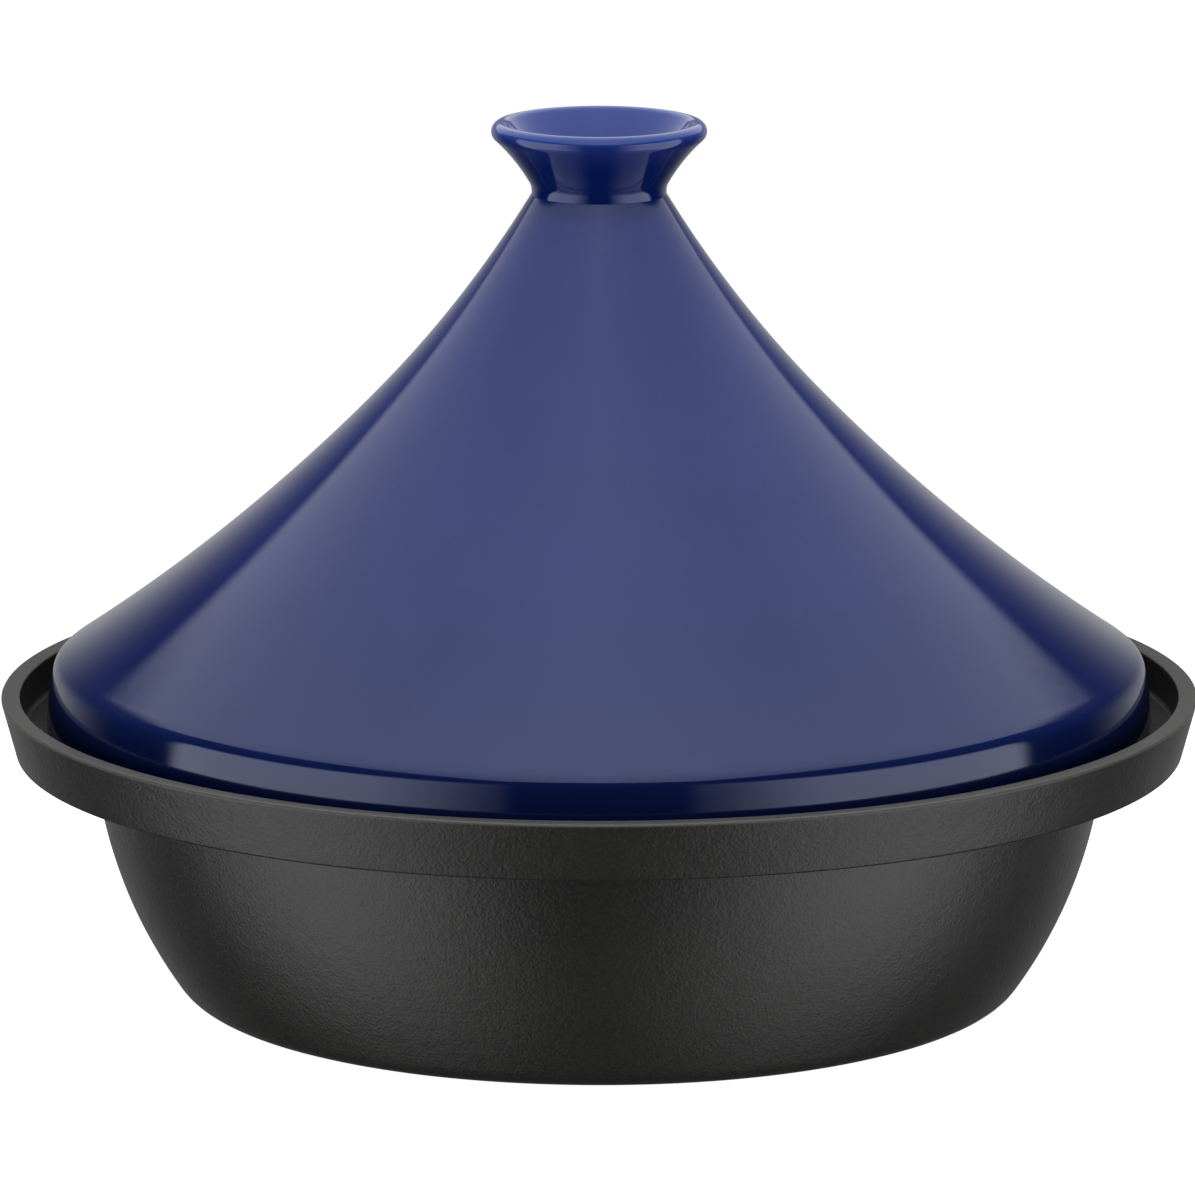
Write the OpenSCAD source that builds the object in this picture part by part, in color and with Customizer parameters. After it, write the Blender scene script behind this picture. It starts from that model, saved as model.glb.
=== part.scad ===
// Tagine pot: a cast iron base and a conical ceramic lid, both turned about one upright axis.
// Millimetres, +Z up, origin at the middle of the flat foot that stands on the table.

/* [Base] */
// Diameter across the rim, the widest part of the pot
rim_d = 320; // [316:1:340]
// Height of the base, from the table to the top of the rim
base_h = 82; // [80:0.5:90]
// Height of the band round the rim
band_h = 15.6; // [15:0.1:18]
// How far the band leans in towards its lower edge, in degrees from upright
band_slope = 15; // [5:1:20]
// Thickness of the rim wall at its top
rim_wall = 5; // [4:0.1:6]
// Depth from the top of the rim down to the ledge that the lid stands on
ledge_drop = 10; // [8:0.1:10.5]
// Greatest radius of the bowl, at the middle height of its side curve
bowl_r = 135.8; // [132:0.1:138]
// Radius of the side curve, in a section through the axis
side_curve = 122.3; // [115:0.1:130]
// Height of the middle of the side curve above the table
side_curve_z = 74.9; // [72:0.1:78]
// Radius of the curve from the side into the flat foot
foot_curve = 11.5; // [8:0.5:16]
// Wall thickness of the casting
iron_wall = 4.5; // [4:0.1:6]
// Thickness of the bowl's floor
floor_t = 5; // [4.5:0.1:8]
// Radius of the curve from the inside wall into the floor
inner_curve = 18; // [14:0.5:24]

/* [Lid] */
// Radius of the lid at the crease between its cone and its upright edge
lid_r = 145.8; // [145:0.1:147]
// Height of the crease above the ring that the lid stands on
crease_h = 18.3; // [17:0.1:20]
// How far the lid's edge spreads out below the crease
edge_flare = 2.2; // [1:0.1:2.6]
// Radius of the edge's slight bulge, in a section through the axis
edge_curve = 90; // [60:5:200]
// Width of the ring that the lid stands on
ring_w = 7.4; // [6.8:0.1:8]
// Wall thickness of the ceramic
lid_wall = 6; // [5:0.1:7]
// Slope of the cone at the crease, in degrees from upright
cone_edge_angle = 56.4; // [56:0.1:57]
// Slope of the cone where its two curves meet, in degrees from upright
cone_mid_angle = 44; // [43:0.5:45]
// Radius of the cone's upper curve, in a section through the axis
cone_upper_curve = 309; // [300:1:320]
// Radius of the cone's lower curve
cone_lower_curve = 516; // [505:1:525]
// Radius of the round top of the space under the cone
dome_curve = 25; // [22:0.5:28]

/* [Knob] */
// Radius of the neck under the knob
neck_r = 18; // [17:0.1:19]
// Slope of the knob's side just above the neck, in degrees from upright
flare_low_angle = 30; // [25:1:34]
// Slope of the knob's side just under the lip, in degrees from upright
flare_high_angle = 47; // [43:1:50]
// Greatest radius of the knob
knob_r = 28.7; // [27:0.1:30]
// Radius of the round lip
lip_curve = 2.6; // [2.2:0.1:2.8]
// Depth of the cup inside the knob
cup_depth = 15; // [12:0.5:15.5]
// Radius of the cup's floor, before its corner is rounded
cup_floor_r = 12.5; // [11:0.1:13]

/* [Hidden] */

// Degrees between the points of large, middling and small curves
large_step = 1.5;
middle_step = 5;
small_step = 15;
// Steps of a full turn
turn_steps = 180;

// Radii of the edges and inside corners of the casting
under_band_fillet = 2;
band_edge = 1;
rim_outer_edge = 0.7;
rim_inner_edge = 0.5;
ledge_fillet = 1.5;
mouth_edge = 2;

// Radii of the edges and inside corners of the ceramic
crease_edge = 4.5;
foot_outer_edge = 2;
foot_inner_edge = 1.2;
inner_crease_fillet = 5;
neck_fillet = 0.6;
neck_curve = 4.5;
cup_corner = 4;
// Upright ring at the foot of the knob
neck_ring_h = 0.9;
// Degrees of the lid's edge curve taken up by the rounded corner at each end
edge_ends = 1.5;

function unit(v) = v / norm(v);
function heading(v) = atan2(v.y, v.x);
function short_way(a) = a > 180 ? a - 360 : a < -180 ? a + 360 : a;
function last(list) = list[len(list) - 1];
function reversed(list) = [for (i = [len(list) - 1:-1:0]) list[i]];

// The point at heading a on a circle of radius r about c
function on_circle(c, r, a) = c + r * [cos(a), sin(a)];

// Points on a circle of radius r about c, from heading a to heading b
function arc(c, r, a, b, step) =
    let (n = ceil(abs(b - a) / step))
    [for (i = [0:n]) on_circle(c, r, a + (b - a) * i / n)];

// Points that round the corner p between the points before and after it
function rounded(before, p, after, r) =
    let (
        u = unit(before - p),
        v = unit(after - p),
        half = acos(u * v) / 2,
        c = p + unit(u + v) * r / sin(half),
        a = heading(p + u * r / tan(half) - c),
        b = heading(p + v * r / tan(half) - c)
    )
    arc(c, r, a, a + short_way(b - a), small_step);

// ---- Base ----

rim_r = rim_d / 2;
// Rounding the leaning band's top edge brings it in, so the sharp corner stands a little further out
rim_corner_r = rim_r + rim_outer_edge * ((1 + sin(band_slope)) / cos(band_slope) - 1);
band_z = base_h - band_h;
ledge_z = base_h - ledge_drop;
side_centre = [bowl_r - side_curve, side_curve_z];

// One face of the bowl, from the axis outward and up: flat floor, corner curve and side curve.
// The corner curve touches the floor and the side curve, so the three run on smoothly.
function bowl_face(side, corner, floor_z, top_z) =
    let (
        corner_z = floor_z + corner,
        reach = sqrt(pow(side - corner, 2) - pow(side_centre.y - corner_z, 2)),
        corner_centre = [side_centre.x + reach, corner_z],
        join = heading(corner_centre - side_centre),
        top = asin((top_z - side_centre.y) / side)
    )
    concat(
        [[0, floor_z]],
        arc(corner_centre, corner, -90, join - middle_step, middle_step),
        arc(side_centre, side, join, top, large_step)
    );

function base_outline() =
    let (
        outside = bowl_face(side_curve, foot_curve, 0, band_z - 2 * under_band_fillet),
        inside = bowl_face(side_curve - iron_wall, inner_curve, floor_t, ledge_z - 2 * mouth_edge),
        under_band = [last(outside).x, band_z],
        band_foot = [rim_corner_r - band_h * tan(band_slope), band_z],
        rim_out = [rim_corner_r, base_h],
        rim_in = [rim_r - rim_wall, base_h],
        ledge_corner = [rim_r - rim_wall, ledge_z],
        mouth = [last(inside).x, ledge_z]
    )
    concat(
        outside,
        rounded(last(outside), under_band, band_foot, under_band_fillet),
        rounded(under_band, band_foot, rim_out, band_edge),
        rounded(band_foot, rim_out, rim_in, rim_outer_edge),
        rounded(rim_out, rim_in, ledge_corner, rim_inner_edge),
        rounded(rim_in, ledge_corner, mouth, ledge_fillet),
        rounded(ledge_corner, mouth, last(inside), mouth_edge),
        reversed(inside)
    );

module cast_iron_base() {
    color("#2c2b29")
        rotate_extrude($fn = turn_steps)
            polygon(base_outline());
}

// ---- Lid ----

crease = [lid_r, ledge_z + crease_h];
// The cone's curves bend about centres outside it, so their headings are its slope plus a half turn
lower_centre = on_circle(crease, cone_lower_curve, cone_edge_angle);
upper_centre = on_circle(lower_centre, cone_lower_curve - cone_upper_curve, cone_mid_angle + 180);

// One face of the cone, from the crease up to the slope top_angle, sunk below the outer face by depth
function cone_face(depth, edge_angle, top_angle) = concat(
    arc(lower_centre, cone_lower_curve + depth, 180 + edge_angle, 180 + cone_mid_angle, large_step),
    arc(upper_centre, cone_upper_curve + depth, 180 + cone_mid_angle - large_step, 180 + top_angle, large_step)
);

// The slope at which a curve of radius r about c reaches the radius x from the pot's axis
function slope_at(c, r, x) = acos((c.x - x) / r);

neck_slope = slope_at(upper_centre, cone_upper_curve, neck_r);
neck = on_circle(upper_centre, cone_upper_curve, 180 + neck_slope);

// The knob's flare rises from the neck ring and ends where it touches the round lip
flare_start = neck + [neck_curve * (1 - cos(flare_low_angle)), neck_ring_h + neck_curve * sin(flare_low_angle)];
flare_end_r = knob_r - lip_curve * (1 - cos(flare_high_angle));
flare_rise = (flare_end_r - flare_start.x) / tan((flare_low_angle + flare_high_angle) / 2);
flare_end = [flare_end_r, flare_start.y + flare_rise];
flare_curve = norm(flare_end - flare_start) / 2 / sin((flare_high_angle - flare_low_angle) / 2);
lip_centre = on_circle(flare_end, lip_curve, 180 - flare_high_angle);
cup_floor_z = lip_centre.y + lip_curve - cup_depth;

function knob_outline() =
    let (
        ring_centre = neck + [neck_curve, neck_ring_h],
        flare_centre = on_circle(flare_end, flare_curve, -flare_high_angle),
        cup_edge = [cup_floor_r, cup_floor_z],
        to_edge = cup_edge - lip_centre,
        lip_stop = heading(to_edge) - acos(lip_curve / norm(to_edge)) + 360,
        lip = arc(lip_centre, lip_curve, -flare_high_angle, lip_stop, small_step)
    )
    concat(
        arc(ring_centre, neck_curve, 180, 180 - flare_low_angle, middle_step),
        arc(flare_centre, flare_curve, 180 - flare_low_angle - 1, 180 - flare_high_angle + 1, large_step),
        lip,
        rounded(last(lip), cup_edge, [0, cup_floor_z], cup_corner),
        [[0, cup_floor_z]]
    );

foot_out = [lid_r + edge_flare, ledge_z];
foot_in = [foot_out.x - ring_w, ledge_z];

// The lid's edge below the crease, from the foot up, bending about a centre inside it
function lid_edge() =
    let (
        across = crease - foot_out,
        inward = unit([-across.y, across.x]),
        centre = (foot_out + crease) / 2 + inward * sqrt(pow(edge_curve, 2) - pow(norm(across) / 2, 2)),
        low = heading(foot_out - centre),
        high = heading(crease - centre)
    )
    arc(centre, edge_curve, low + edge_ends, high - edge_ends, large_step);

function lid_inside() =
    let (
        edge_slope = slope_at(lower_centre, cone_lower_curve + lid_wall, foot_in.x),
        face_angle = edge_slope - 1,
        dome_reach = cone_upper_curve + lid_wall + dome_curve,
        dome_centre = [0, upper_centre.y - sqrt(pow(dome_reach, 2) - pow(upper_centre.x, 2))],
        dome_join = heading(upper_centre - dome_centre),
        face = cone_face(lid_wall, face_angle, dome_join),
        corner = on_circle(lower_centre, cone_lower_curve + lid_wall, 180 + edge_slope)
    )
    concat(
        arc(dome_centre, dome_curve, 90, dome_join + middle_step, middle_step),
        reversed(face),
        rounded(face[0], corner, foot_in, inner_crease_fillet)
    );

function lid_outline() =
    let (
        edge = lid_edge(),
        face = cone_face(0, cone_edge_angle - 0.5, neck_slope + 0.5)
    )
    concat(
        lid_inside(),
        rounded(foot_in + [0, lid_wall], foot_in, foot_out, foot_inner_edge),
        rounded(foot_in, foot_out, edge[0], foot_outer_edge),
        edge,
        rounded(last(edge), crease, face[0], crease_edge),
        face,
        rounded(last(face), neck, neck + [0, neck_ring_h], neck_fillet),
        knob_outline()
    );

module ceramic_lid() {
    color("#2f3f7d")
        rotate_extrude($fn = turn_steps)
            polygon(lid_outline());
}

cast_iron_base();
ceramic_lid();
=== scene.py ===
"""A tagine pot: a glazed ceramic lid on a cast iron base, on a pale floor under soft studio light."""

import math

import bpy
import bmesh
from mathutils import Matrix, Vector, noise


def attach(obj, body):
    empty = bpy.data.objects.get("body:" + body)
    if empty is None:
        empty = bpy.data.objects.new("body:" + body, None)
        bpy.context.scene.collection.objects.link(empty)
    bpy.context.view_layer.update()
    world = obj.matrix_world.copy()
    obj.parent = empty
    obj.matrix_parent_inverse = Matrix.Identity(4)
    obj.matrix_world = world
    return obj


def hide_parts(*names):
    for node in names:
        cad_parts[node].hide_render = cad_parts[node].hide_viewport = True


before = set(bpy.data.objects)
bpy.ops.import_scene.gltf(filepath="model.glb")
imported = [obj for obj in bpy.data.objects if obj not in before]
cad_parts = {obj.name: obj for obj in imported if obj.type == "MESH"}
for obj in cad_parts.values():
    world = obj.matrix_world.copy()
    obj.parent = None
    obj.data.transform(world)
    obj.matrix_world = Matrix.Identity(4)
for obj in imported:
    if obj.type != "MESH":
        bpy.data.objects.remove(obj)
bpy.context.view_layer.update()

# ---- Sizes, in millimetres: the same driving dimensions as the CAD model ----

MM = 0.001

RIM_D = 320
BASE_H = 82
BAND_H = 15.6
BAND_SLOPE = 15
RIM_WALL = 5
LEDGE_DROP = 10
BOWL_R = 135.8
SIDE_CURVE = 122.3
SIDE_CURVE_Z = 74.9
FOOT_CURVE = 11.5
IRON_WALL = 4.5
FLOOR_T = 5
INNER_CURVE = 18
UNDER_BAND_FILLET = 2
BAND_EDGE = 1
RIM_OUTER_EDGE = 0.7
RIM_INNER_EDGE = 0.5
LEDGE_FILLET = 1.5
MOUTH_EDGE = 2

LID_R = 145.8
CREASE_H = 18.3
EDGE_FLARE = 2.2
EDGE_CURVE = 90
RING_W = 7.4
LID_WALL = 6
CONE_EDGE_ANGLE = 56.4
CONE_MID_ANGLE = 44
CONE_UPPER_CURVE = 309
CONE_LOWER_CURVE = 516
DOME_CURVE = 25
CREASE_EDGE = 4.5
EDGE_ENDS = 1.5
FOOT_OUTER_EDGE = 2
FOOT_INNER_EDGE = 1.2
INNER_CREASE_FILLET = 5

NECK_R = 18
NECK_RING_H = 0.9
NECK_FILLET = 0.6
NECK_CURVE = 4.5
FLARE_LOW_ANGLE = 30
FLARE_HIGH_ANGLE = 47
KNOB_R = 28.7
LIP_CURVE = 2.6
CUP_DEPTH = 15
CUP_FLOOR_R = 12.5
CUP_CORNER = 4

# The lip is this much lower here, to stay inside the CAD model's box
LIP_SINK = 0.02

# How finely the outlines and the turned meshes are divided: millimetres, degrees and steps in a full turn
SPACING = 1.8
LARGEST_TURN = 9
TURN_STEPS = 320

# Degrees left out at the ends of the cone's faces, where rounded corners meet them
OUTER_FACE_ENDS = 0.5
INNER_FACE_END = 1

LEDGE_Z = BASE_H - LEDGE_DROP


# ---- Outlines in a section through the axis: x is the radius and y is the height ----


def heading(v):
    return math.degrees(math.atan2(v.y, v.x))


def on_circle(centre, radius, angle):
    """The point at that heading on a circle."""
    a = math.radians(angle)
    return centre + radius * Vector((math.cos(a), math.sin(a)))


def arc(centre, radius, start, end):
    """Points on a circle, from one heading to another."""
    turn = abs(end - start)
    steps = max(1, math.ceil(turn / LARGEST_TURN), math.ceil(radius * math.radians(turn) / SPACING))
    return [on_circle(centre, radius, start + (end - start) * i / steps) for i in range(steps + 1)]


def rounded(before, corner, after, radius):
    """Points that round a corner between the points before and after it."""
    u = (before - corner).normalized()
    v = (after - corner).normalized()
    half = u.angle(v) / 2
    centre = corner + (u + v).normalized() * radius / math.sin(half)
    start = heading(corner + u * radius / math.tan(half) - centre)
    end = heading(corner + v * radius / math.tan(half) - centre)
    short_way = (end - start + 180) % 360 - 180
    return arc(centre, radius, start, start + short_way)


def filled(points):
    """The same outline with more points on its straight stretches."""
    outline = [points[0]]
    for point in points[1:]:
        last = outline[-1].copy()
        steps = max(1, math.ceil((point - last).length / (1.5 * SPACING)))
        outline += [last.lerp(point, i / steps) for i in range(1, steps + 1)]
    return outline


def bowl_face(side, corner, floor_z, top_z):
    """One face of the bowl, from the axis outward and up: flat floor, corner curve and side curve."""
    side_centre = Vector((BOWL_R - SIDE_CURVE, SIDE_CURVE_Z))
    corner_z = floor_z + corner
    reach = math.sqrt((side - corner) ** 2 - (side_centre.y - corner_z) ** 2)
    corner_centre = Vector((side_centre.x + reach, corner_z))
    join = heading(corner_centre - side_centre)
    top = math.degrees(math.asin((top_z - side_centre.y) / side))
    return (
        [Vector((0, floor_z))]
        + arc(corner_centre, corner, -90, join)
        + arc(side_centre, side, join, top)[1:]
    )


def base_outline():
    """The base, from the foot's middle up the outside, over the rim and down the inside."""
    rim_r = RIM_D / 2
    slope = math.radians(BAND_SLOPE)
    rim_corner_r = rim_r + RIM_OUTER_EDGE * ((1 + math.sin(slope)) / math.cos(slope) - 1)
    band_z = BASE_H - BAND_H
    outside = bowl_face(SIDE_CURVE, FOOT_CURVE, 0, band_z - 2 * UNDER_BAND_FILLET)
    inside = bowl_face(SIDE_CURVE - IRON_WALL, INNER_CURVE, FLOOR_T, LEDGE_Z - 2 * MOUTH_EDGE)
    under_band = Vector((outside[-1].x, band_z))
    band_foot = Vector((rim_corner_r - BAND_H * math.tan(slope), band_z))
    rim_out = Vector((rim_corner_r, BASE_H))
    rim_in = Vector((rim_r - RIM_WALL, BASE_H))
    ledge_corner = Vector((rim_in.x, LEDGE_Z))
    mouth = Vector((inside[-1].x, LEDGE_Z))
    return filled(
        outside
        + rounded(outside[-1], under_band, band_foot, UNDER_BAND_FILLET)
        + rounded(under_band, band_foot, rim_out, BAND_EDGE)
        + rounded(band_foot, rim_out, rim_in, RIM_OUTER_EDGE)
        + rounded(rim_out, rim_in, ledge_corner, RIM_INNER_EDGE)
        + rounded(rim_in, ledge_corner, mouth, LEDGE_FILLET)
        + rounded(ledge_corner, mouth, inside[-1], MOUTH_EDGE)
        + inside[::-1]
    )


CREASE = Vector((LID_R, LEDGE_Z + CREASE_H))
LOWER_CENTRE = on_circle(CREASE, CONE_LOWER_CURVE, CONE_EDGE_ANGLE)
UPPER_CENTRE = on_circle(LOWER_CENTRE, CONE_LOWER_CURVE - CONE_UPPER_CURVE, CONE_MID_ANGLE + 180)
FOOT_OUT = Vector((LID_R + EDGE_FLARE, LEDGE_Z))
FOOT_IN = Vector((FOOT_OUT.x - RING_W, LEDGE_Z))


def cone_face(depth, edge_angle, top_angle):
    """One face of the cone, from the crease up to a slope, sunk below the outer face by depth."""
    lower = arc(LOWER_CENTRE, CONE_LOWER_CURVE + depth, 180 + edge_angle, 180 + CONE_MID_ANGLE)
    upper = arc(UPPER_CENTRE, CONE_UPPER_CURVE + depth, 180 + CONE_MID_ANGLE, 180 + top_angle)
    return lower + upper[1:]


def slope_at(centre, radius, x):
    """The slope at which a curve of the cone reaches that distance from the axis."""
    return math.degrees(math.acos((centre.x - x) / radius))


NECK_SLOPE = slope_at(UPPER_CENTRE, CONE_UPPER_CURVE, NECK_R)
NECK = on_circle(UPPER_CENTRE, CONE_UPPER_CURVE, 180 + NECK_SLOPE)


def knob_outline():
    """The knob, from the ring on its neck up over the round lip and down to the floor of its cup."""
    ring_centre = NECK + Vector((NECK_CURVE, NECK_RING_H))
    flare_start = on_circle(ring_centre, NECK_CURVE, 180 - FLARE_LOW_ANGLE)
    flare_end_r = KNOB_R - LIP_CURVE * (1 - math.cos(math.radians(FLARE_HIGH_ANGLE)))
    mean_slope = math.radians((FLARE_LOW_ANGLE + FLARE_HIGH_ANGLE) / 2)
    flare_rise = (flare_end_r - flare_start.x) / math.tan(mean_slope)
    flare_end = Vector((flare_end_r, flare_start.y + flare_rise))
    half_turn = math.radians((FLARE_HIGH_ANGLE - FLARE_LOW_ANGLE) / 2)
    flare_curve = (flare_end - flare_start).length / 2 / math.sin(half_turn)
    flare_centre = on_circle(flare_end, flare_curve, -FLARE_HIGH_ANGLE)
    lip_centre = on_circle(flare_end, LIP_CURVE, 180 - FLARE_HIGH_ANGLE) - Vector((0, LIP_SINK))
    cup_floor_z = lip_centre.y + LIP_CURVE - CUP_DEPTH
    cup_edge = Vector((CUP_FLOOR_R, cup_floor_z))
    to_edge = cup_edge - lip_centre
    lip_stop = heading(to_edge) - math.degrees(math.acos(LIP_CURVE / to_edge.length)) + 360
    lip = arc(lip_centre, LIP_CURVE, -FLARE_HIGH_ANGLE, lip_stop)
    return (
        arc(ring_centre, NECK_CURVE, 180, 180 - FLARE_LOW_ANGLE)
        + arc(flare_centre, flare_curve, 180 - FLARE_LOW_ANGLE, 180 - FLARE_HIGH_ANGLE)[1:-1]
        + lip
        + rounded(lip[-1], cup_edge, Vector((0, cup_floor_z)), CUP_CORNER)
        + [Vector((0, cup_floor_z))]
    )


def lid_edge():
    """The lid's edge below the crease, from the foot up, bending about a centre inside it."""
    across = CREASE - FOOT_OUT
    inward = Vector((-across.y, across.x)).normalized()
    centre = (FOOT_OUT + CREASE) / 2 + inward * math.sqrt(EDGE_CURVE**2 - (across.length / 2) ** 2)
    low = heading(FOOT_OUT - centre) + EDGE_ENDS
    high = heading(CREASE - centre) - EDGE_ENDS
    return arc(centre, EDGE_CURVE, low, high)


def lid_inside():
    """The space under the cone, from the top of its dome down to the crease."""
    edge_slope = slope_at(LOWER_CENTRE, CONE_LOWER_CURVE + LID_WALL, FOOT_IN.x)
    dome_reach = CONE_UPPER_CURVE + LID_WALL + DOME_CURVE
    dome_centre = Vector((0, UPPER_CENTRE.y - math.sqrt(dome_reach**2 - UPPER_CENTRE.x**2)))
    dome_join = heading(UPPER_CENTRE - dome_centre)
    face = cone_face(LID_WALL, edge_slope - INNER_FACE_END, dome_join)
    corner = on_circle(LOWER_CENTRE, CONE_LOWER_CURVE + LID_WALL, 180 + edge_slope)
    return (
        arc(dome_centre, DOME_CURVE, 90, dome_join)
        + face[-2::-1]
        + rounded(face[0], corner, FOOT_IN, INNER_CREASE_FILLET)
    )


def lid_outline():
    """The lid, from the top of its inside down to the ring it stands on, then up the outside to the cup."""
    edge = lid_edge()
    face = cone_face(0, CONE_EDGE_ANGLE - OUTER_FACE_ENDS, NECK_SLOPE + OUTER_FACE_ENDS)
    return filled(
        lid_inside()
        + rounded(FOOT_IN + Vector((0, LID_WALL)), FOOT_IN, FOOT_OUT, FOOT_INNER_EDGE)
        + rounded(FOOT_IN, FOOT_OUT, edge[0], FOOT_OUTER_EDGE)
        + edge
        + rounded(edge[-1], CREASE, face[0], CREASE_EDGE)
        + face
        + rounded(face[-1], NECK, NECK + Vector((0, NECK_RING_H)), NECK_FILLET)
        + knob_outline()
    )


# ---- Turned meshes ----


def sharpness(outline):
    """At each point, how tightly the outline bends: above 0 on edges, below 0 in inside corners."""
    bends = [0.0]
    for before, point, after in zip(outline, outline[1:], outline[2:]):
        u = point - before
        v = after - point
        length = (u.length + v.length) / 2
        bends.append(-v.angle_signed(u) / length if length > 1e-6 else 0.0)
    return bends + [0.0]


def unevenness(place, wave, depth):
    """How far in the surface lies at a place, from 0 to depth, in waves of that length."""
    return depth * 0.5 * (1 + noise.noise(place / wave))


def turned(name, outline, waves):
    """A smooth mesh made by turning an outline whose ends are on the axis, a little uneven all round.

    The waves are pairs of a length and a depth in millimetres. The mesh's point attribute "edge" is 1 on
    tight edges and -1 in tight inside corners.
    """
    mesh = bpy.data.meshes.new(name)
    shell = bmesh.new()
    edge = shell.verts.layers.float.new("edge")
    rings = []
    for point, bend in zip(outline, sharpness(outline)):
        steps = TURN_STEPS if point.x > 0 else 1
        ring = []
        for i in range(steps):
            turn = 2 * math.pi * i / steps
            out = Vector((math.cos(turn), math.sin(turn), 0))
            place = out * point.x + Vector((0, 0, point.y))
            inward = sum(unevenness(place, wave, depth) for wave, depth in waves)
            vertex = shell.verts.new((place - out * min(inward, point.x / 2)) * MM)
            vertex[edge] = max(-1, min(1, bend))
            ring.append(vertex)
        rings.append(ring)
    for low, high in zip(rings, rings[1:]):
        for i in range(TURN_STEPS):
            j = (i + 1) % TURN_STEPS
            corners = [low[i % len(low)], low[j % len(low)], high[j % len(high)], high[i % len(high)]]
            # On the axis two corners are the same point, which is used once
            shell.faces.new(list(dict.fromkeys(corners)))
    bmesh.ops.recalc_face_normals(shell, faces=shell.faces)
    for face in shell.faces:
        face.smooth = True
    shell.to_mesh(mesh)
    shell.free()
    piece = bpy.data.objects.new(name, mesh)
    bpy.context.scene.collection.objects.link(piece)
    return piece


# ---- Nodes ----


def add(tree, kind, inputs=None, **settings):
    """A new node with its settings, and its inputs set to values or linked to other nodes' outputs."""
    node = tree.nodes.new(kind)
    for name, value in settings.items():
        setattr(node, name, value)
    for name, value in (inputs or {}).items():
        if isinstance(value, bpy.types.NodeSocket):
            tree.links.new(value, node.inputs[name])
        else:
            node.inputs[name].default_value = value
    return node


def maths(tree, operation, a, b=0.0):
    """The result of that operation on one or two values."""
    return add(tree, "ShaderNodeMath", {0: a, 1: b}, operation=operation).outputs[0]


def smooth(tree, value, start, end, low=0.0, high=1.0):
    """A soft step from low to high as the value goes from start to end."""
    ends = {"From Min": start, "From Max": end, "To Min": low, "To Max": high}
    step = add(tree, "ShaderNodeMapRange", {"Value": value, **ends}, interpolation_type="SMOOTHSTEP")
    return step.outputs["Result"]


def product(tree, *values):
    """The product of several values."""
    total = values[0]
    for value in values[1:]:
        total = maths(tree, "MULTIPLY", total, value)
    return total


def window(tree, value, low, high, soft):
    """1 while the value is between low and high and 0 outside, with soft ends."""
    opens = smooth(tree, value, low - soft, low + soft)
    return product(tree, opens, smooth(tree, value, high - soft, high + soft, 1.0, 0.0))


def grain(tree, place, size, detail, roughness=0.5):
    """Soft noise from 0 to 1 with features of that size in millimetres."""
    wanted = {"Vector": place, "Scale": 1 / (size * MM), "Detail": detail, "Roughness": roughness}
    return add(tree, "ShaderNodeTexNoise", wanted).outputs["Fac"]


def colour(red, green, blue):
    return (red, green, blue, 1)


def upward(tree, vector):
    """The upward part of a vector."""
    return add(tree, "ShaderNodeSeparateXYZ", {0: vector}).outputs["Z"]


def tightness(tree):
    """The mesh's "edge" attribute: 1 on tight edges and -1 in tight inside corners."""
    return add(tree, "ShaderNodeAttribute", attribute_name="edge").outputs["Fac"]


def blend(tree, share, a, b):
    """Colour a where share is 0 and colour b where it is 1."""
    return add(tree, "ShaderNodeMix", {"Factor": share, "A": a, "B": b}, data_type="RGBA").outputs["Result"]


def raised(tree, height, depth, over=None):
    """A bump of that depth in millimetres, on top of an earlier bump."""
    inputs = {"Height": height, "Distance": depth * MM, "Strength": 1.0}
    if over is not None:
        inputs["Normal"] = over
    return add(tree, "ShaderNodeBump", inputs).outputs["Normal"]


def new_material(name):
    """A node material: its tree, its Principled shader, and the place on the piece as a vector."""
    material = bpy.data.materials.new(name)
    material.use_nodes = True
    tree = material.node_tree
    shader = tree.nodes["Principled BSDF"]
    place = add(tree, "ShaderNodeTexCoord").outputs["Object"]
    return material, tree, shader, place


# ---- Materials ----


def cast_iron():
    """Matt black cast iron with a pebbled skin, a little worn on its edges and ground on top of the rim."""
    black = colour(0.0075, 0.0074, 0.0072)
    brown_black = colour(0.0135, 0.013, 0.0118)
    pale_speckle = colour(0.021, 0.0206, 0.0195)
    worn_metal = colour(0.035, 0.034, 0.033)
    ground_metal = colour(0.095, 0.093, 0.090)
    material, tree, shader, place = new_material("cast_iron")
    pebbles = grain(tree, place, 0.9, detail=3.0, roughness=0.65)
    hammered = grain(tree, place, 4.0, detail=3.0)
    cloud = grain(tree, place, 45.0, detail=4.0)
    dark = blend(tree, cloud, black, brown_black)
    speckled = blend(tree, smooth(tree, pebbles, 0.4, 0.65, 0.0, 0.7), dark, pale_speckle)
    edged = blend(tree, smooth(tree, tightness(tree), 0.3, 1.0), speckled, worn_metal)
    on_rim = smooth(tree, upward(tree, place), (BASE_H - 0.9) * MM, (BASE_H - 0.3) * MM)
    tree.links.new(blend(tree, on_rim, edged, ground_metal), shader.inputs["Base Color"])
    tree.links.new(smooth(tree, cloud, 0.3, 0.7, 0.32, 0.38), shader.inputs["Roughness"])
    bumps = raised(tree, pebbles, 0.17, over=raised(tree, hammered, 0.13))
    tree.links.new(bumps, shader.inputs["Normal"])
    return material


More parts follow.
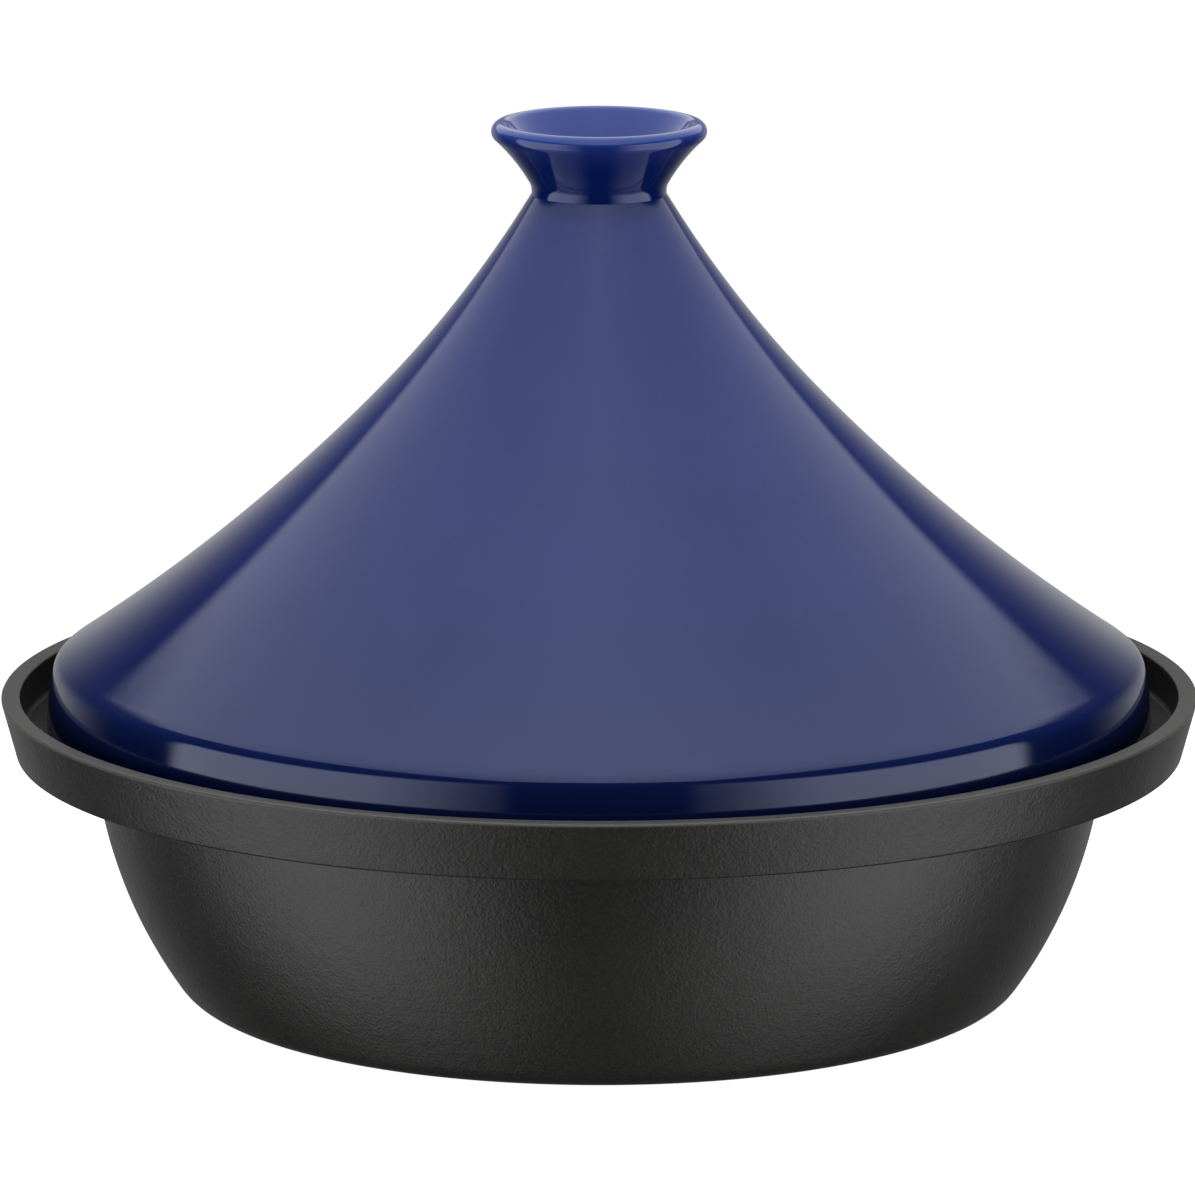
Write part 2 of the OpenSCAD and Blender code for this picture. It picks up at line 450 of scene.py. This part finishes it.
def blue_glaze():
    """Glossy cobalt glaze. Painted shade makes it darker low down, on the band under the crease and in the
    neck. Painted light makes it paler in the knob's cup and on its lip, whose crest is partly glaze thin on
    the edge.
    """
    cobalt = colour(0.012, 0.025, 0.155)
    light_cobalt = colour(0.014, 0.029, 0.172)
    dark_fleck = colour(0.007, 0.014, 0.09)
    # Painted shade: darker blue low down on the cone, and darkest on the band under the crease
    low_shade_blue = colour(0.007, 0.018, 0.09)
    band_shade_blue = colour(0.004, 0.010, 0.062)
    # Painted shade: darker blue in the recess of the neck and under the knob's flare
    neck_shade_blue = colour(0.002, 0.011, 0.095)
    # Painted light: paler blue on the faces of the knob's cup that look up at the light above
    cup_light_blue = colour(0.020, 0.051, 0.28)
    # Partly glaze thin on the lip's edge, partly a painted highlight on its crest where light from above
    # falls
    lip_thin_and_highlight_blue = colour(0.050, 0.088, 0.37)
    crease_z = CREASE.y * MM
    knob_z = NECK.y * MM
    material, tree, shader, place = new_material("blue_glaze")
    cloud = grain(tree, place, 30.0, detail=5.0, roughness=0.55)
    flecks = grain(tree, place, 1.2, detail=1.0)
    height = upward(tree, place)
    body = blend(tree, smooth(tree, cloud, 0.3, 0.7), cobalt, light_cobalt)
    flecked = blend(tree, smooth(tree, flecks, 0.62, 0.8, 0.0, 0.35), body, dark_fleck)
    # Painted shade: darker towards the crease and darkest on the band below it, where less light falls
    low_shade = smooth(tree, height, crease_z + 0.045, crease_z + 0.002, 0.0, 0.5)
    lower = blend(tree, low_shade, flecked, low_shade_blue)
    band_shade = smooth(tree, height, crease_z + 0.003, crease_z - 0.003, 0.0, 0.85)
    edged = blend(tree, band_shade, lower, band_shade_blue)
    # Painted shade in the neck, from just below it to the flare under the lip
    neck_shade = window(tree, height, knob_z - 0.002, knob_z + 0.013, 0.004)
    neck_shaded = blend(tree, neck_shade, edged, neck_shade_blue)
    # Painted light: faces pointing up, above the neck, are made paler
    facing_up = smooth(tree, upward(tree, add(tree, "ShaderNodeNewGeometry").outputs["Normal"]), 0.0, 0.4)
    cup_light = product(tree, facing_up, smooth(tree, height, knob_z + 0.004, knob_z + 0.009))
    cup_lit = blend(tree, cup_light, neck_shaded, cup_light_blue)
    # Lip crest: partly glaze thin on the edge, partly a painted highlight on upward faces
    lip_thin_and_highlight = product(tree, cup_light, smooth(tree, tightness(tree), 0.1, 0.5))
    tree.links.new(blend(tree, lip_thin_and_highlight, cup_lit, lip_thin_and_highlight_blue), shader.inputs["Base Color"])
    tree.links.new(smooth(tree, cloud, 0.3, 0.7, 0.06, 0.09), shader.inputs["Roughness"])
    shader.inputs["IOR"].default_value = 1.65
    shader.inputs["Specular Tint"].default_value = colour(0.64, 0.71, 1.0)
    skin = raised(tree, grain(tree, place, 6.0, detail=1.0), 0.012)
    ripples = raised(tree, grain(tree, place, 1.6, detail=1.0), 0.0012, over=skin)
    tree.links.new(ripples, shader.inputs["Normal"])
    return material


def bare_clay():
    """The unglazed ring that the lid stands on: pale buff clay with fine grit."""
    dull_buff = colour(0.56, 0.45, 0.33)
    pale_buff = colour(0.66, 0.55, 0.42)
    brown_grit = colour(0.32, 0.22, 0.15)
    material, tree, shader, place = new_material("bare_clay")
    grit = grain(tree, place, 0.7, detail=3.0)
    buff = blend(tree, grain(tree, place, 12.0, detail=3.0), dull_buff, pale_buff)
    gritty = blend(tree, smooth(tree, grit, 0.6, 0.75, 0.0, 0.5), buff, brown_grit)
    tree.links.new(gritty, shader.inputs["Base Color"])
    tree.links.new(smooth(tree, grit, 0.3, 0.7, 0.8, 0.95), shader.inputs["Roughness"])
    tree.links.new(raised(tree, grit, 0.15), shader.inputs["Normal"])
    return material


# ---- Pieces ----


def add_piece(name, outline, waves, materials, body, node):
    """A turned piece that rides on a body and replaces a CAD node."""
    piece = turned(name, outline, waves)
    for material in materials:
        piece.data.materials.append(material)
    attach(piece, body)
    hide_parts(node)
    return piece


def add_base():
    waves = [(60, 0.12), (14, 0.06)]
    add_piece("iron_base", base_outline(), waves, [cast_iron()], "base", "cast_iron_base")


def add_lid():
    waves = [(70, 0.10), (30, 0.03)]
    materials = [blue_glaze(), bare_clay()]
    lid = add_piece("glazed_lid", lid_outline(), waves, materials, "lid", "ceramic_lid")
    glaze_stops = (LEDGE_Z + 0.8) * MM
    for face in lid.data.polygons:
        if face.center.z < glaze_stops:
            face.material_index = 1


# ---- Floor, light and camera ----


def add_floor():
    """A wide pale floor a hair below the foot. The pot doesn't mirror it, and from below it is clear."""
    half = 30
    z = -0.0001
    corners = [(-half, -half, z), (half, -half, z), (half, half, z), (-half, half, z)]
    mesh = bpy.data.meshes.new("floor")
    mesh.from_pydata(corners, [], [(0, 1, 2, 3)])
    floor = bpy.data.objects.new("floor", mesh)
    bpy.context.scene.collection.objects.link(floor)
    material, tree, shader, _ = new_material("pale_floor")
    shader.inputs["Base Color"].default_value = colour(0.80, 0.80, 0.80)
    shader.inputs["Roughness"].default_value = 1.0
    shader.inputs["Specular IOR Level"].default_value = 0.0
    shader.inputs["Emission Color"].default_value = colour(1, 1, 1)
    shader.inputs["Emission Strength"].default_value = 0.97
    from_below = add(tree, "ShaderNodeNewGeometry").outputs["Backfacing"]
    clear = add(tree, "ShaderNodeBsdfTransparent").outputs[0]
    both = add(tree, "ShaderNodeMixShader", {0: from_below, 1: shader.outputs[0], 2: clear}).outputs[0]
    tree.links.new(both, tree.nodes["Material Output"].inputs["Surface"])
    mesh.materials.append(material)
    floor.visible_glossy = False
    floor.visible_diffuse = False
    floor.visible_shadow = False


def studio_light():
    """Soft light from the surroundings: a broad panel each side of the camera and a dim wall behind the pot.

    Azimuth is 0 towards the camera and 180 behind the pot, the same both sides; elevation is from the floor.
    Only the pot is lit by them: the camera sees plain white.
    """
    world = bpy.data.worlds.new("studio")
    bpy.context.scene.world = world
    world.use_nodes = True
    tree = world.node_tree
    tree.nodes.clear()
    direction = add(tree, "ShaderNodeTexCoord").outputs["Generated"]
    axes = add(tree, "ShaderNodeSeparateXYZ", {0: direction}).outputs
    across = maths(tree, "ABSOLUTE", axes["X"])
    toward = maths(tree, "MULTIPLY", axes["Y"], -1.0)
    azimuth = maths(tree, "DEGREES", maths(tree, "ARCTAN2", across, toward))
    elevation = maths(tree, "DEGREES", maths(tree, "ARCSINE", axes["Z"]))

    extent = product(tree, window(tree, azimuth, 19, 98, 3), window(tree, elevation, -85, 19, 5))
    brighter_aside = smooth(tree, azimuth, 14, 54, 0.12, 1.92)
    panel = product(tree, extent, brighter_aside, smooth(tree, elevation, -90, -22))

    dimmer_above = smooth(tree, elevation, -2, 23, 0.43, 0.03)
    dimmer_below = smooth(tree, elevation, -40, -9, 0.1, 1.0)
    wall = product(tree, smooth(tree, azimuth, 118, 152), dimmer_above, dimmer_below)

    light = maths(tree, "ADD", panel, wall)
    white = colour(1, 1, 1)
    seen = add(tree, "ShaderNodeBackground", {"Color": white, "Strength": 1.0}).outputs[0]
    cast = add(tree, "ShaderNodeBackground", {"Color": white, "Strength": light}).outputs[0]
    camera_ray = add(tree, "ShaderNodeLightPath").outputs["Is Camera Ray"]
    both = add(tree, "ShaderNodeMixShader", {0: camera_ray, 1: cast, 2: seen}).outputs[0]
    add(tree, "ShaderNodeOutputWorld", {"Surface": both})


def add_canopy():
    """A broad soft light close over the pot, tilted up towards the camera, brightest over the knob."""
    front = -0.95
    back = 0.40
    half_width = 0.375
    height_over_axis = 0.45
    tilt = math.radians(19.4)
    brightness = 4.1
    bulb_y = 0.16
    middle = (front + back) / 2
    data = bpy.data.lights.new("canopy", "AREA")
    data.shape = "RECTANGLE"
    data.size = 2 * half_width
    data.size_y = (back - front) / math.cos(tilt)
    data.energy = brightness * data.size * data.size_y
    data.use_nodes = True
    tree = data.node_tree
    place = add(tree, "ShaderNodeNewGeometry").outputs["Position"]
    axes = add(tree, "ShaderNodeSeparateXYZ", {0: place}).outputs
    aside = maths(tree, "ABSOLUTE", axes["X"])
    dimmer = maths(tree, "SUBTRACT", 1.0, aside)
    bulb = Vector((0, bulb_y, height_over_axis - bulb_y * math.tan(tilt)))
    off_bulb = add(tree, "ShaderNodeVectorMath", {0: place, 1: bulb}, operation="DISTANCE").outputs["Value"]
    glow = maths(tree, "ADD", dimmer, smooth(tree, off_bulb, 0.03, 0.28, 0.2, 0.0))
    soft_sides = smooth(tree, aside, half_width - 0.03, half_width, 1.0, 0.0)
    soft_back = smooth(tree, axes["Y"], back - 0.06, back, 1.0, 0.0)
    strength = product(tree, glow, soft_sides, soft_back)
    tree.links.new(strength, tree.nodes["Emission"].inputs["Strength"])
    canopy = bpy.data.objects.new("canopy", data)
    bpy.context.scene.collection.objects.link(canopy)
    canopy.location = (0, middle, height_over_axis - middle * math.tan(tilt))
    canopy.rotation_euler = (-tilt, 0, 0)
    canopy.visible_camera = False


def add_camera():
    """A long lens a little above the pot, looking down at it."""
    aside = -0.00043
    distance = 2.601
    height = 0.6561
    look_down = math.radians(11.923)
    data = bpy.data.cameras.new("camera")
    data.sensor_width = 36
    data.lens = 299.5
    camera = bpy.data.objects.new("camera", data)
    bpy.context.scene.collection.objects.link(camera)
    camera.location = (aside, -distance, height)
    camera.rotation_euler = (math.radians(90) - look_down, 0, 0)
    bpy.context.scene.camera = camera


add_camera()
add_base()
add_lid()
add_floor()
studio_light()
add_canopy()
bpy.context.scene.view_settings.view_transform = "Standard"
